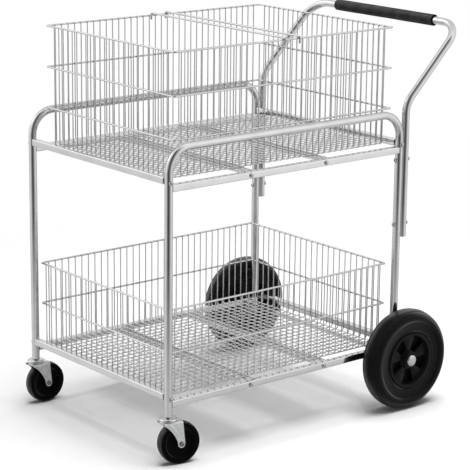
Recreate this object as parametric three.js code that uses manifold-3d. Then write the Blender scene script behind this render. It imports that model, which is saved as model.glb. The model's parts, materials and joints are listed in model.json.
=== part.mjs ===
// Mobile file cart: two bent-tube side frames carry two rail shelves with wire baskets,
// on two swivel casters in front and two large wheels behind, pushed by a bent-tube handle.
// Millimetres, +Z up. X runs from the caster end to the handle end, Y from the near side
// to the far side. Everything is laid out from the near front leg's axis, and the whole
// cart is then moved so that the origin lies on the floor under the middle of its box.
import * as THREE from 'three';
import { mergeVertices } from 'three/addons/utils/BufferGeometryUtils.js';
import Module from 'manifold-3d';

const wasm = await Module();
wasm.setup();

// Clearances
const seat = 0.3; // between pieces that touch
const looseFit = 0.4; // around bolts, axles and pins, on the radius
const stemFit = 0.7; // around a caster's stem in the leg, on the radius

// Side frames
const tubeDiameter = 19;
const tubeWall = 1.5;
const tubeBendRadius = 57;
const legSpacingLength = 695;
const legSpacingWidth = 530;
const sideBarHeight = 726;
const rearLegBelowAxle = 16;

// Handle: the knee is where the lines of the upright and the slope cross
const handleUpright = 325; // from the foot to the knee
const handleKneeRise = 20; // of the knee above the side bars' axis
const handleReach = 176; // from the uprights back to the cross bar
const handleSlope = 45; // degrees above level
const gripWall = 4.75;
const gripEdge = 1.5;
const gripEndRoom = 33; // from each end of the grip to the cross bar's bend
const handleBoltRise = 33; // from the handle's foot to the lower bolts
const handleBoltRailGap = 17.5; // from the upper bolts up to the upper side rails' bottom
const handleBoltDiameter = 6;
const handleBoltHeadDiameter = 12;
const handleBoltHeadHeight = 3.6;
const handleNutDiameter = 10.5;
const handleNutHeight = 4.5;

// Shelf rails and straps
const railSize = 16;
const railWall = 1.5;
const upperRailDrop = 96.5; // from the side bars' axis down to the upper side rails' bottom
const lowerRailRise = 21.5; // from the front legs' feet up to the lower side rails' bottom
const axleRoom = 3; // at least, between the rear axle and the rail above it
const strapWidth = 40;
const strapThickness = 3;
const strapTab = 13;
const strapSpacing = 226;
const upperStrapShift = -7; // of the upper straps, from the middle of the cart's length
const lowerStrapShift = 0;

// Wire baskets
const ringWire = 4.5;
const wallWire = 3.2;
const ringCornerRadius = 5;
const upperBasketHeight = 284.5; // from the side rails' top to the rim's axis
const upperRingStep = 97;
const upperLongPitch = 18.4;
const upperLongRoom = 22.2; // from the rim's corners to the first and last wires
const upperShortPitch = 18.2;
const upperShortRoom = 26.6;
const upperBasketFrontGap = 30; // from the front legs' axis to the rim's
const upperBasketRearGap = 13;
const upperBasketSideGap = 20;
const lowerBasketHeight = 205.5;
const lowerRingStep = 100;
const lowerLongPitch = 19.5;
const lowerLongRoom = 18.5;
const lowerShortPitch = 20.8;
const lowerShortRoom = 13.8;
const lowerBasketFrontGap = 12;
const lowerBasketRearGap = 22;
const lowerBasketSideGap = 12;

// Sliding file rails on the upper rim
const fileRailWire = 5;
const fileBay = 311; // front rim to front file rail, for letter folders
const fileRailGap = 44;
const fileHookDrop = 14; // below the rim's top

// Front casters
const casterWheelDiameter = 100;
const casterTyreWidth = 26;
const casterTyreThickness = 15.7;
const casterTyreShoulder = 5;
const casterTyreCrown = 2;
const casterTyreBead = 3;
const casterHubInset = 2; // from the tyre's side to the hub's
const casterBossWall = 6;
const casterTrail = 26;
const casterSideRoom = 2.5; // between the tyre and each fork plate
const casterTopRoom = 2; // between the tyre and the fork crown
const forkPlate = 2.5;
const forkEyeRadius = 9.5;
const forkCrownBack = 4; // behind the wheel's axis
const forkLip = 4; // below the crown, in front
const forkThroat = 20; // from the eye's top up to the curved front edge
const raceDiameter = 42;
const raceEdge = 1.2;
const raceBevel = 3;
const lowerRaceHeight = 2.5;
const upperRaceHeight = 5.4;
const stemLength = 55;
const kingPinDiameter = 11;
const kingPinHeadDiameter = 18;
const kingPinHeadHeight = 2;
const casterAxleDiameter = 8;
const casterBoltHeadDiameter = 13;
const casterBoltHeadHeight = 3.5;
const nearCasterTurn = -11; // degrees about the stem, as parked
const farCasterTurn = 1;

// Rear wheels
const wheelDiameter = 248;
const tyreWidth = 57;
const tyreHeight = 54.5; // from the rim to the tread
const tyreShoulder = 12;
const tyreShoulderInset = 2;
const tyreCrown = 3.6;
const tyreWidest = 31; // from the tread down to the widest place
const tyreBead = 4;
const rimEdgeInset = 4.5; // from the tyre's side to the rim's edge
const wheelInset = 3; // from the leg's side to the tyre's inner face
const rimWall = 8.5;
const rimWebThickness = 16;
const rimBackPlate = 3; // closes the web's pockets on the inside
const rimWebSetBack = 10; // from the rim's outer edge to the web's outer face
const hubDiameter = 40;
const hubSetBack = 1.2; // from the rim's outer edge to the hub's outer face
const spokeCount = 5;
const pocketSpread = 34; // degrees, between two spokes at the rim
const pocketRootSpread = 42; // degrees, between two spokes at the hub
const spokeRoot = 4; // web left round the hub
const spokeHeel = 2; // web left inside the rim
const axleDiameter = 12.7;
const axleStub = 5; // beyond the hub, inside the cap
const hubCapDiameter = 29;
const hubCapHeight = 8;
const hubCapEdge = 1.5;
const washerDiameter = 24;
const washerThickness = 1.7;

// Values that follow from the sizes above
const sides = { tube: 10, wire: 6, bolt: 8, wheel: 28, caster: 20, race: 16 };
const bendSteps = 4;
const domeShoulder = { out: 0.6, along: 0.8 }; // shares of a domed head's radius and height
const tubeRadius = tubeDiameter / 2;
const tubeBore = tubeDiameter - 2 * tubeWall;
const nearY = 0;
const farY = legSpacingWidth;
const frontX = 0;
const rearX = legSpacingLength;
const axleHeight = wheelDiameter / 2;
const casterRadius = casterWheelDiameter / 2;
const crownBottom = casterWheelDiameter + casterTopRoom;
const crownTop = crownBottom + forkPlate;
const upperRaceBottom = crownTop + lowerRaceHeight + seat;
const frontLegFoot = upperRaceBottom + upperRaceHeight + seat;
const handleX = rearX + tubeDiameter + seat;
const handleKneeHeight = sideBarHeight + handleKneeRise;
const handleFoot = handleKneeHeight - handleUpright;
const upperRailBottom = sideBarHeight - upperRailDrop;
const handleBoltHeights = [handleFoot + handleBoltRise, upperRailBottom - handleBoltRailGap];
const lowestEndRail = axleHeight + axleDiameter / 2 + axleRoom;
const lowerRailBottom = Math.max(frontLegFoot + lowerRailRise, lowestEndRail - railSize);
const upperRailTop = upperRailBottom + railSize;
const lowerRailTop = lowerRailBottom + railSize;
const upperRimHeight = upperRailTop + upperBasketHeight;
const lowerRimHeight = lowerRailTop + lowerBasketHeight;

const up = new THREE.Vector3(0, 0, 1);
const vec = (x, y, z) => new THREE.Vector3(x, y, z);
const radians = THREE.MathUtils.degToRad;

// Finishes
const chrome = () => new THREE.MeshStandardMaterial({ color: 0xd9dbdd, metalness: 1, roughness: 0.12 });
const wireChrome = () => new THREE.MeshStandardMaterial({ color: 0xd2d3d4, metalness: 1, roughness: 0.2 });
const zinc = () => new THREE.MeshStandardMaterial({ color: 0xb9bbbd, metalness: 1, roughness: 0.3 });
const foam = () => new THREE.MeshStandardMaterial({ color: 0x2a2a2b, metalness: 0, roughness: 0.85 });
const rubber = () => new THREE.MeshStandardMaterial({ color: 0x1b1b1c, metalness: 0, roughness: 0.7 });
const blackPlastic = () => new THREE.MeshStandardMaterial({ color: 0x161617, metalness: 0, roughness: 0.45 });

// Solids: a geometry goes into the boolean library with only its merged positions
function toSolid(geometry) {
  const bare = geometry.clone();
  bare.deleteAttribute('normal');
  bare.deleteAttribute('uv');
  const merged = mergeVertices(bare, 1e-4);
  const vertProperties = Float32Array.from(merged.attributes.position.array);
  const triVerts = Uint32Array.from(merged.index.array);
  if (signedVolume(vertProperties, triVerts) < 0) flip(triVerts);
  return new wasm.Manifold(new wasm.Mesh({ numProp: 3, vertProperties, triVerts }));
}

function toGeometry(solid) {
  const mesh = solid.getMesh();
  const geometry = new THREE.BufferGeometry();
  geometry.setAttribute('position', new THREE.BufferAttribute(mesh.vertProperties, 3));
  geometry.setIndex(new THREE.BufferAttribute(mesh.triVerts, 1));
  geometry.computeVertexNormals();
  return geometry;
}

function signedVolume(points, triangles) {
  let volume = 0;
  const corner = (k) => vec(points[3 * k], points[3 * k + 1], points[3 * k + 2]);
  for (let t = 0; t < triangles.length; t += 3) {
    const [a, b, c] = [corner(triangles[t]), corner(triangles[t + 1]), corner(triangles[t + 2])];
    volume += a.dot(b.cross(c)) / 6;
  }
  return volume;
}

function flip(triangles) {
  for (let t = 0; t < triangles.length; t += 3) {
    const kept = triangles[t + 1];
    triangles[t + 1] = triangles[t + 2];
    triangles[t + 2] = kept;
  }
}

const outward = (geometry) => toGeometry(toSolid(geometry));
const cut = (geometry, cutters) =>
  toGeometry(cutters.reduce((solid, cutter) => solid.subtract(toSolid(cutter)), toSolid(geometry)));
const join = (geometries) => toGeometry(geometries.map(toSolid).reduce((a, b) => a.add(b)));

// A path whose swept section stands exactly at each of its points
class Route extends THREE.Curve {
  constructor(points) {
    super();
    this.points = points;
  }

  getPoint(t) {
    const last = this.points.length - 1;
    const before = Math.min(Math.floor(t * last + 1e-6), last - 1);
    return this.points[before].clone().lerp(this.points[before + 1], t * last - before);
  }

  getPointAt(u) {
    return this.getPoint(u);
  }

  getTangentAt(u) {
    const last = this.points.length - 1;
    const here = Math.round(u * last);
    const back = this.points[Math.max(here - 1, 0)];
    const ahead = this.points[Math.min(here + 1, last)];
    const middle = this.points[here];
    const arriving = middle.clone().sub(here > 0 ? back : ahead).normalize();
    if (here === 0) arriving.negate();
    const leaving = here < last ? ahead.clone().sub(middle).normalize() : arriving.clone();
    return arriving.add(leaving).normalize();
  }
}

// Straight runs through the corners, with a round bend of one radius at each inner corner
function bentRoute(corners, radius) {
  const points = [corners[0]];
  for (let k = 1; k < corners.length - 1; k += 1) {
    const into = corners[k].clone().sub(corners[k - 1]).normalize();
    const out = corners[k + 1].clone().sub(corners[k]).normalize();
    const turn = into.angleTo(out);
    const axis = into.clone().cross(out).normalize();
    const start = corners[k].clone().addScaledVector(into, -radius * Math.tan(turn / 2));
    const toCentre = axis.clone().cross(into).multiplyScalar(radius);
    const centre = start.clone().add(toCentre);
    for (let s = 0; s <= bendSteps; s += 1) {
      const spoke = toCentre.clone().negate().applyAxisAngle(axis, (turn * s) / bendSteps);
      points.push(centre.clone().add(spoke));
    }
  }
  points.push(corners[corners.length - 1]);
  return new Route(points);
}

function polygon(radius, count, Kind = THREE.Shape) {
  const points = Array.from({ length: count }, (_, k) => {
    const angle = (2 * Math.PI * (k + 0.5)) / count;
    return new THREE.Vector2(radius * Math.cos(angle), radius * Math.sin(angle));
  });
  return new Kind(points);
}

function sweep(route, section) {
  const steps = route.points.length - 1;
  return outward(new THREE.ExtrudeGeometry(section, { steps, extrudePath: route, bevelEnabled: false }));
}

function hollowTube(route) {
  const section = polygon(tubeRadius, sides.tube);
  section.holes.push(polygon(tubeBore / 2, sides.tube, THREE.Path));
  return sweep(route, section);
}

const plate = (shape, depth, curveSegments = 6) =>
  new THREE.ExtrudeGeometry(shape, { depth, bevelEnabled: false, curveSegments });

// Turn flat work drawn in X and Y to stand in the X-Z plane or the Y-Z plane
function inPlane(geometry, acrossAxis, upAxis) {
  const basis = new THREE.Matrix4().makeBasis(acrossAxis, upAxis, acrossAxis.clone().cross(upAxis));
  return geometry.applyMatrix4(basis);
}
const alongX = vec(1, 0, 0);
const alongY = vec(0, 1, 0);

// Round work: [radius, place along the axis] pairs, turned about Y, X or Z
function turned(profile, count, axis = 'y') {
  const points = profile.map(([radius, along]) => new THREE.Vector2(radius, along));
  const geometry = new THREE.LatheGeometry(points, count);
  if (axis === 'x') geometry.rotateZ(-Math.PI / 2);
  if (axis === 'z') geometry.rotateX(Math.PI / 2);
  return outward(geometry);
}

const rod = (diameter, from, to, count, axis) =>
  turned([[0, from], [diameter / 2, from], [diameter / 2, to], [0, to]], count, axis);

const cart = new THREE.Group();

function addPart(name, geometry, material, parent = cart) {
  const mesh = new THREE.Mesh(geometry, material);
  mesh.name = name;
  parent.add(mesh);
  return mesh;
}

// Side frames: an upside-down U of tube on each long side, with holes for the axle and handle bolts
function addSideFrame(name, y) {
  const corners = [
    vec(frontX, y, frontLegFoot),
    vec(frontX, y, sideBarHeight),
    vec(rearX, y, sideBarHeight),
    vec(rearX, y, axleHeight - rearLegBelowAxle),
  ];
  const holes = handleBoltHeights.map((z) => boltHole(y, z));
  const axleHole = rod(axleDiameter + 2 * looseFit, -tubeDiameter, tubeDiameter, sides.bolt, 'y');
  axleHole.translate(rearX, y, axleHeight);
  holes.push(axleHole);
  addPart(name, cut(hollowTube(bentRoute(corners, tubeBendRadius)), holes), chrome());
}

function boltHole(y, z) {
  const hole = rod(handleBoltDiameter + 2 * looseFit, -tubeDiameter, 2 * tubeDiameter, sides.bolt, 'x');
  return hole.translate(rearX, y, z);
}

// Handle: uprights against the rear legs, then a slope up and back to the cross bar
const slopeRise = handleReach * Math.tan(radians(handleSlope));
const crossBarX = handleX + handleReach;
const crossBarHeight = handleKneeHeight + slopeRise;

function addHandle() {
  const corners = [
    vec(handleX, nearY, handleFoot),
    vec(handleX, nearY, handleKneeHeight),
    vec(crossBarX, nearY, crossBarHeight),
    vec(crossBarX, farY, crossBarHeight),
    vec(handleX, farY, handleKneeHeight),
    vec(handleX, farY, handleFoot),
  ];
  const holes = [nearY, farY].flatMap((y) => handleBoltHeights.map((z) => boltHole(y, z)));
  addPart('handle_tube', cut(hollowTube(bentRoute(corners, tubeBendRadius)), holes), chrome());

  const bore = tubeRadius + seat;
  const outer = tubeRadius + gripWall;
  const half = legSpacingWidth / 2 - tubeBendRadius - gripEndRoom;
  const shoulder = half - gripEdge;
  const profile = [[bore, -half], [outer - gripEdge, -half], [outer, -shoulder], [outer, shoulder],
    [outer - gripEdge, half], [bore, half], [bore, -half]];
  const grip = turned(profile, sides.race, 'y');
  addPart('handle_grip', grip, foam()).position.set(crossBarX, legSpacingWidth / 2, crossBarHeight);
}

// A domed head from the axis to its rim, pointing down the axis from its flat face
const domedHead = (radius, face, height) => [
  [0, face - height],
  [radius * domeShoulder.out, face - height * domeShoulder.along],
  [radius, face],
];

function addHandleBolts() {
  for (const [side, y] of [['near', nearY], ['far', farY]]) {
    handleBoltHeights.forEach((z, k) => {
      const name = `handle_bolt_${side}_${k === 0 ? 'lower' : 'upper'}`;
      const headFace = -tubeRadius - seat;
      const nutFace = tubeDiameter + tubeRadius + 2 * seat;
      const shank = handleBoltDiameter / 2;
      const nut = handleNutDiameter / 2;
      const profile = [
        ...domedHead(handleBoltHeadDiameter / 2, headFace, handleBoltHeadHeight),
        [shank, headFace],
        [shank, nutFace],
        [nut, nutFace],
        [nut, nutFace + handleNutHeight],
        [0, nutFace + handleNutHeight],
      ];
      addPart(name, turned(profile, sides.bolt, 'x'), zinc()).position.set(rearX, y, z);
    });
  }
}

// Shelves: hollow square rails butted on the legs, the end rails one rail higher than the side
// rails, and two flat straps whose turned-down tabs are bolted inside the side rails
function railTube(length) {
  const half = railSize / 2;
  const inner = half - railWall;
  const corners = [[-1, -1], [1, -1], [1, 1], [-1, 1]];
  const square = (reach, Kind) => new Kind(corners.map(([a, b]) => new THREE.Vector2(a * reach, b * reach)));
  const section = square(half, THREE.Shape);
  section.holes.push(square(inner, THREE.Path));
  return plate(section, length);
}

function addShelf(shelf, sideRailBottom, strapShift) {
  const reach = tubeRadius + seat;
  const sideRailMiddle = sideRailBottom + railSize / 2;
  for (const [side, y] of [['near', nearY], ['far', farY]]) {
    const rail = railTube(legSpacingLength - 2 * reach).rotateY(Math.PI / 2);
    addPart(`${shelf}_side_rail_${side}`, outward(rail), chrome()).position.set(reach, y, sideRailMiddle);
  }
  for (const [end, x] of [['front', frontX], ['rear', rearX]]) {
    const rail = railTube(legSpacingWidth - 2 * reach).rotateX(-Math.PI / 2);
    const mesh = addPart(`${shelf}_end_rail_${end}`, outward(rail), chrome());
    mesh.position.set(x, reach, sideRailMiddle + railSize);
  }
  const railTop = sideRailBottom + railSize;
  const left = nearY + railSize / 2 + seat;
  const right = farY - railSize / 2 - seat;
  const low = railTop - strapTab;
  const innerLeft = left + strapThickness;
  const innerRight = right - strapThickness;
  const under = railTop - strapThickness;
  const outline = [[left, low], [left, railTop], [right, railTop], [right, low],
    [innerRight, low], [innerRight, under], [innerLeft, under], [innerLeft, low]];
  for (const [end, sign] of [['front', -1], ['rear', 1]]) {
    const shape = new THREE.Shape(outline.map(([y, z]) => new THREE.Vector2(y, z)));
    const strap = inPlane(plate(shape, strapWidth), alongY, up);
    const middle = (legSpacingLength + sign * strapSpacing) / 2 + strapShift;
    addPart(`${shelf}_strap_${end}`, outward(strap), chrome()).position.x = middle - strapWidth / 2;
  }
}

// Wire baskets: rings outside, wall wires inside them, and a floor of two crossing layers
// whose wires stand in line with the wall wires. A comb is one row of parallel wires joined
// by a wire across their ends, the first and last of them a given room inside two corners.
function comb(corner0, corner1, spine, tips, { pitch, room }) {
  const half = wallWire / 2;
  const toTips = Math.sign(tips - spine);
  const root = spine + toTips * half;
  const [first, last] = [corner0 + room, corner1 - room];
  const gaps = Math.round((last - first) / pitch);
  const step = (last - first) / gaps;
  const points = [[first - half, spine - toTips * half], [last + half, spine - toTips * half]];
  for (let k = gaps; k >= 0; k -= 1) {
    const middle = first + k * step;
    points.push([middle + half, root], [middle + half, tips], [middle - half, tips], [middle - half, root]);
  }
  const corners = points.map(([a, b]) => new THREE.Vector2(a, b));
  return plate(new THREE.Shape(corners), wallWire);
}

function ring(x0, x1, y0, y1) {
  const outline = (grow, Kind) => {
    const radius = ringCornerRadius + grow;
    const path = new Kind();
    path.absarc(x0 + ringCornerRadius, y0 + ringCornerRadius, radius, Math.PI, 1.5 * Math.PI);
    path.absarc(x1 - ringCornerRadius, y0 + ringCornerRadius, radius, 1.5 * Math.PI, 2 * Math.PI);
    path.absarc(x1 - ringCornerRadius, y1 - ringCornerRadius, radius, 0, 0.5 * Math.PI);
    path.absarc(x0 + ringCornerRadius, y1 - ringCornerRadius, radius, 0.5 * Math.PI, Math.PI);
    path.closePath();
    return path;
  };
  const shape = outline(ringWire / 2, THREE.Shape);
  shape.holes.push(outline(-ringWire / 2, THREE.Path));
  return plate(shape, ringWire, 2).translate(0, 0, -ringWire / 2);
}

function addBasket(basket, gaps, wires, ringHeights, railTop) {
  const [x0, x1] = [frontX + gaps.front, rearX - gaps.rear];
  const [y0, y1] = [nearY + gaps.side, farY - gaps.side];
  ringHeights.forEach((z, k) => {
    const name = k === 0 ? `${basket}_rim` : `${basket}_ring_${k}`;
    addPart(name, outward(ring(x0, x1, y0, y1)), wireChrome()).position.z = z;
  });

  const rimTop = ringHeights[0];
  const longLayer = railTop + seat;
  const crossLayer = longLayer + wallWire + seat;
  const inset = ringWire / 2 + seat; // from a ring's middle to the walls' outer faces
  const [wallX0, wallX1] = [x0 + inset, x1 - inset];
  const [wallY0, wallY1] = [y0 + inset, y1 - inset];
  const spine = rimTop - wallWire / 2;
  for (const [side, y] of [['near', wallY0 + wallWire], ['far', wallY1]]) {
    const wall = inPlane(comb(x0, x1, spine, longLayer, wires.long), alongX, up);
    addPart(`${basket}_wall_${side}`, outward(wall), wireChrome()).position.y = y;
  }
  for (const [end, x] of [['front', wallX0], ['rear', wallX1 - wallWire]]) {
    const wall = inPlane(comb(y0, y1, spine, longLayer, wires.short), alongY, up);
    addPart(`${basket}_wall_${end}`, outward(wall), wireChrome()).position.x = x;
  }
  const floorEnd = wallWire + seat; // keeps the floor wires clear of the walls
  const [floorX0, floorX1] = [wallX0 + floorEnd, wallX1 - floorEnd];
  const [floorY0, floorY1] = [wallY0 + floorEnd, wallY1 - floorEnd];
  const crossWires = comb(x0, x1, floorY1 - wallWire / 2, floorY0, wires.long);
  addPart(`${basket}_floor_cross_wires`, outward(crossWires), wireChrome()).position.z = crossLayer;
  const swap = new THREE.Matrix4().makeBasis(alongY, alongX, up.clone().negate());
  const longWires = comb(y0, y1, floorX1 - wallWire / 2, floorX0, wires.short).applyMatrix4(swap);
  addPart(`${basket}_floor_long_wires`, outward(longWires), wireChrome()).position.z = longLayer + wallWire;
}

// File rails: bent wires hooked over both long sides of the upper rim, free to slide along it
function addFileRails() {
  const rimTop = upperRimHeight + ringWire / 2;
  const runHeight = rimTop + seat + fileRailWire / 2;
  const outside = ringWire / 2 + seat + fileRailWire / 2;
  const nearHook = nearY + upperBasketSideGap - outside;
  const farHook = farY - upperBasketSideGap + outside;
  const tip = rimTop - fileHookDrop;
  const frontRail = frontX + upperBasketFrontGap + fileBay;
  const bend = fileRailWire / 2 + seat;
  for (const [end, x] of [['front', frontRail], ['rear', frontRail + fileRailGap]]) {
    const nearEnd = [vec(x, nearHook, tip), vec(x, nearHook, runHeight)];
    const farEnd = [vec(x, farHook, runHeight), vec(x, farHook, tip)];
    const route = bentRoute([...nearEnd, ...farEnd], bend);
    addPart(`file_rail_${end}`, sweep(route, polygon(fileRailWire / 2, sides.wire)), wireChrome());
  }
}

// Front casters: a stem with its upper race stays in the leg, and the fork swivels under it
const forkInner = casterTyreWidth / 2 + casterSideRoom;
const forkOuter = forkInner + forkPlate;

function casterStem() {
  const bottom = crownBottom - seat - kingPinHeadHeight;
  const stem = tubeBore / 2 - stemFit;
  const profile = [
    [0, bottom],
    [kingPinHeadDiameter / 2, bottom],
    [kingPinHeadDiameter / 2, bottom + kingPinHeadHeight],
    [kingPinDiameter / 2, bottom + kingPinHeadHeight],
    [kingPinDiameter / 2, upperRaceBottom],
    [raceDiameter / 2, upperRaceBottom],
    [raceDiameter / 2, upperRaceBottom + raceEdge],
    [tubeRadius + raceBevel, frontLegFoot - seat],
    [stem, frontLegFoot - seat],
    [stem, frontLegFoot + stemLength],
    [0, frontLegFoot + stemLength],
  ];
  return turned(profile, sides.race, 'z');
}

function casterFork() {
  const crownFront = raceDiameter / 2 - raceBevel;
  const crownBack = casterTrail + forkCrownBack;
  const eyeFront = casterTrail - forkEyeRadius;
  const eyeTop = casterRadius + forkEyeRadius;
  const side = new THREE.Shape();
  side.moveTo(-crownFront, crownTop);
  side.lineTo(-crownFront, crownBottom - forkLip);
  side.quadraticCurveTo(0, crownBottom - forkLip, eyeFront / 2, eyeTop + forkThroat);
  side.lineTo(eyeFront, casterRadius);
  side.absarc(casterTrail, casterRadius, forkEyeRadius, Math.PI, 2 * Math.PI);
  side.lineTo(casterTrail + forkEyeRadius, eyeTop);
  side.lineTo(crownBack, crownTop);
  const sidePlate = (y) => inPlane(plate(side, forkPlate, 5), alongX, up).translate(0, y, 0);
  const crown = new THREE.BoxGeometry(crownFront + crownBack, 2 * forkOuter, forkPlate);
  crown.translate((crownBack - crownFront) / 2, 0, crownBottom + forkPlate / 2);
  const raceRadius = raceDiameter / 2;
  const raceTop = crownTop + lowerRaceHeight;
  const raceProfile = [[0, crownBottom], [crownFront, crownBottom], [raceRadius, crownTop],
    [raceRadius, raceTop], [0, raceTop]];
  const race = turned(raceProfile, sides.race, 'z');
  const fork = join([crown, sidePlate(-forkInner), sidePlate(forkOuter), race]);
  const pinHole = rod(kingPinDiameter + 2 * looseFit, crownBottom - forkPlate, frontLegFoot, sides.race, 'z');
  const axleHole = rod(casterAxleDiameter + 2 * looseFit, -2 * forkOuter, 2 * forkOuter, sides.bolt, 'y');
  axleHole.translate(casterTrail, 0, casterRadius);
  return cut(fork, [pinHole, axleHole]);
}

function casterAxle() {
  const face = forkOuter + seat;
  const shank = casterAxleDiameter / 2;
  const head = casterBoltHeadDiameter / 2;
  const profile = [
    ...domedHead(head, -face, casterBoltHeadHeight),
    [shank, -face],
    [shank, face],
    [head, face],
    [head, face + casterBoltHeadHeight],
    [0, face + casterBoltHeadHeight],
  ];
  return turned(profile, sides.bolt, 'y');
}

function casterHub() {
  const bore = casterAxleDiameter / 2 + looseFit;
  const boss = forkInner - seat;
  const bossEdge = bore + casterBossWall;
  const flange = casterTyreWidth / 2 - casterHubInset;
  const rim = casterRadius - casterTyreThickness - seat;
  const profile = [[bore, -boss], [bossEdge, -boss], [bossEdge, -flange], [rim, -flange],
    [rim, flange], [bossEdge, flange], [bossEdge, boss], [bore, boss], [bore, -boss]];
  return turned(profile, sides.caster, 'y');
}

function casterTyre() {
  const inner = casterRadius - casterTyreThickness;
  const half = casterTyreWidth / 2;
  const bead = half - casterHubInset;
  const tread = casterRadius - casterTyreCrown;
  const side = tread - casterTyreShoulder;
  const shoulder = half - casterTyreShoulder;
  const profile = [[inner, -bead], [inner + casterTyreBead, -half], [side, -half], [tread, -shoulder],
    [casterRadius, 0], [tread, shoulder], [side, half], [inner + casterTyreBead, half], [inner, bead],
    [inner, -bead]];
  return turned(profile, sides.caster, 'y');
}

function addCaster(side, y, turn) {
  const caster = new THREE.Group();
  caster.position.set(frontX, y, 0);
  caster.rotation.z = radians(turn);
  cart.add(caster);
  addPart(`caster_stem_${side}`, casterStem(), chrome(), caster);
  addPart(`caster_fork_${side}`, casterFork(), zinc(), caster);
  const wheel = new THREE.Group();
  wheel.position.set(casterTrail, 0, casterRadius);
  caster.add(wheel);
  addPart(`caster_axle_${side}`, casterAxle(), zinc(), wheel);
  addPart(`caster_hub_${side}`, casterHub(), blackPlastic(), wheel);
  addPart(`caster_tyre_${side}`, casterTyre(), rubber(), wheel);
}

// Rear wheels: drawn for the near side, with the outer face towards -Y, and turned round for the far side.
// The rim's web is pocketed from outside between its spokes, one of which stands upright
const wheelMiddle = tubeRadius + wheelInset + tyreWidth / 2;
const rimEdge = tyreWidth / 2 - rimEdgeInset;
const tyreSeatRadius = wheelDiameter / 2 - tyreHeight;
const hubOuter = rimEdge - hubSetBack;
const washerFace = wheelMiddle - tubeRadius - seat;
const hubInner = washerFace - washerThickness - seat;

function rearTyre() {
  const outer = wheelDiameter / 2;
  const half = tyreWidth / 2;
  const bead = tyreSeatRadius + tyreBead;
  const oneSide = [
    [tyreSeatRadius, rimEdge],
    [bead, rimEdge],
    [outer - tyreWidest, half],
    [outer - tyreShoulder, half - tyreShoulderInset],
    [outer - tyreCrown, half - tyreShoulder],
  ];
  const otherSide = oneSide.map(([radius, along]) => [radius, -along]);
  const profile = [...otherSide, [outer, 0], ...oneSide.reverse(), otherSide[0]];
  return turned(profile, sides.wheel, 'y');
}

function rearRim() {
  const seatRadius = tyreSeatRadius - seat;
  const barrel = seatRadius - rimWall;
  const bore = axleDiameter / 2 + looseFit;
  const hub = hubDiameter / 2;
  const webOuter = -rimEdge + rimWebSetBack;
  const webInner = webOuter + rimWebThickness;
  const profile = [[bore, -hubOuter], [hub, -hubOuter], [hub, webOuter], [barrel, webOuter],
    [barrel, -rimEdge], [seatRadius, -rimEdge], [seatRadius, rimEdge], [barrel, rimEdge], [barrel, webInner],
    [hub, webInner], [hub, hubInner], [bore, hubInner], [bore, -hubOuter]];
  const pocketFloor = webInner - rimBackPlate;
  const pockets = Array.from({ length: spokeCount }, (_, k) => {
    const spread = radians(pocketSpread) / 2;
    const rootSpread = radians(pocketRootSpread) / 2;
    const outline = new THREE.Shape();
    outline.absarc(0, 0, barrel - spokeHeel, -spread, spread);
    outline.absarc(0, 0, hub + spokeRoot, rootSpread, -rootSpread, true);
    const cutter = plate(outline, pocketFloor + rimEdge, 4).translate(0, 0, -pocketFloor);
    return cutter.rotateZ(radians(90) + (2 * Math.PI * (k + 0.5)) / spokeCount).rotateX(Math.PI / 2);
  });
  return cut(turned(profile, sides.wheel, 'y'), pockets);
}

function hubCap() {
  const face = -hubOuter - seat;
  const radius = hubCapDiameter / 2;
  const bore = axleDiameter / 2 + looseFit;
  const stub = face - axleStub - looseFit;
  const profile = [...domedHead(radius, face - hubCapEdge, hubCapHeight - hubCapEdge), [radius, face],
    [bore, face], [bore, stub], [0, stub]];
  return turned(profile, sides.race, 'y');
}

function addRearWheel(side, y, turn) {
  const wheel = new THREE.Group();
  wheel.position.set(rearX, y, axleHeight);
  wheel.rotation.z = turn;
  cart.add(wheel);
  const onHub = new THREE.Group();
  onHub.position.y = -wheelMiddle;
  wheel.add(onHub);
  addPart(`rear_tyre_${side}`, rearTyre(), rubber(), onHub);
  addPart(`rear_rim_${side}`, rearRim(), blackPlastic(), onHub);
  addPart(`hub_cap_${side}`, hubCap(), chrome(), onHub);
  const bore = axleDiameter / 2 + looseFit;
  const outer = washerDiameter / 2;
  const washer = [[bore, hubInner + seat], [outer, hubInner + seat], [outer, washerFace], [bore, washerFace],
    [bore, hubInner + seat]];
  addPart(`wheel_washer_${side}`, turned(washer, sides.race, 'y'), zinc(), onHub);
}

function addRearAxle() {
  const past = wheelMiddle + hubOuter + axleStub;
  const axle = rod(axleDiameter, nearY - past, farY + past, sides.bolt, 'y');
  addPart('rear_axle', axle, zinc()).position.set(rearX, 0, axleHeight);
}

const upperRings = [0, 1, 2].map((k) => upperRimHeight - k * upperRingStep);
const lowerRings = [0, 1].map((k) => lowerRimHeight - k * lowerRingStep);

addSideFrame('side_frame_near', nearY);
addSideFrame('side_frame_far', farY);
addHandle();
addHandleBolts();
addShelf('upper', upperRailBottom, upperStrapShift);
addShelf('lower', lowerRailBottom, lowerStrapShift);
const upperGaps = { front: upperBasketFrontGap, rear: upperBasketRearGap, side: upperBasketSideGap };
const lowerGaps = { front: lowerBasketFrontGap, rear: lowerBasketRearGap, side: lowerBasketSideGap };
const upperWires = {
  long: { pitch: upperLongPitch, room: upperLongRoom },
  short: { pitch: upperShortPitch, room: upperShortRoom },
};
const lowerWires = {
  long: { pitch: lowerLongPitch, room: lowerLongRoom },
  short: { pitch: lowerShortPitch, room: lowerShortRoom },
};
addBasket('upper_basket', upperGaps, upperWires, upperRings, upperRailTop);
addBasket('lower_basket', lowerGaps, lowerWires, lowerRings, lowerRailTop);
addFileRails();
addCaster('near', nearY, nearCasterTurn);
addCaster('far', farY, farCasterTurn);
addRearWheel('near', nearY, 0);
addRearWheel('far', farY, Math.PI);
addRearAxle();

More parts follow.
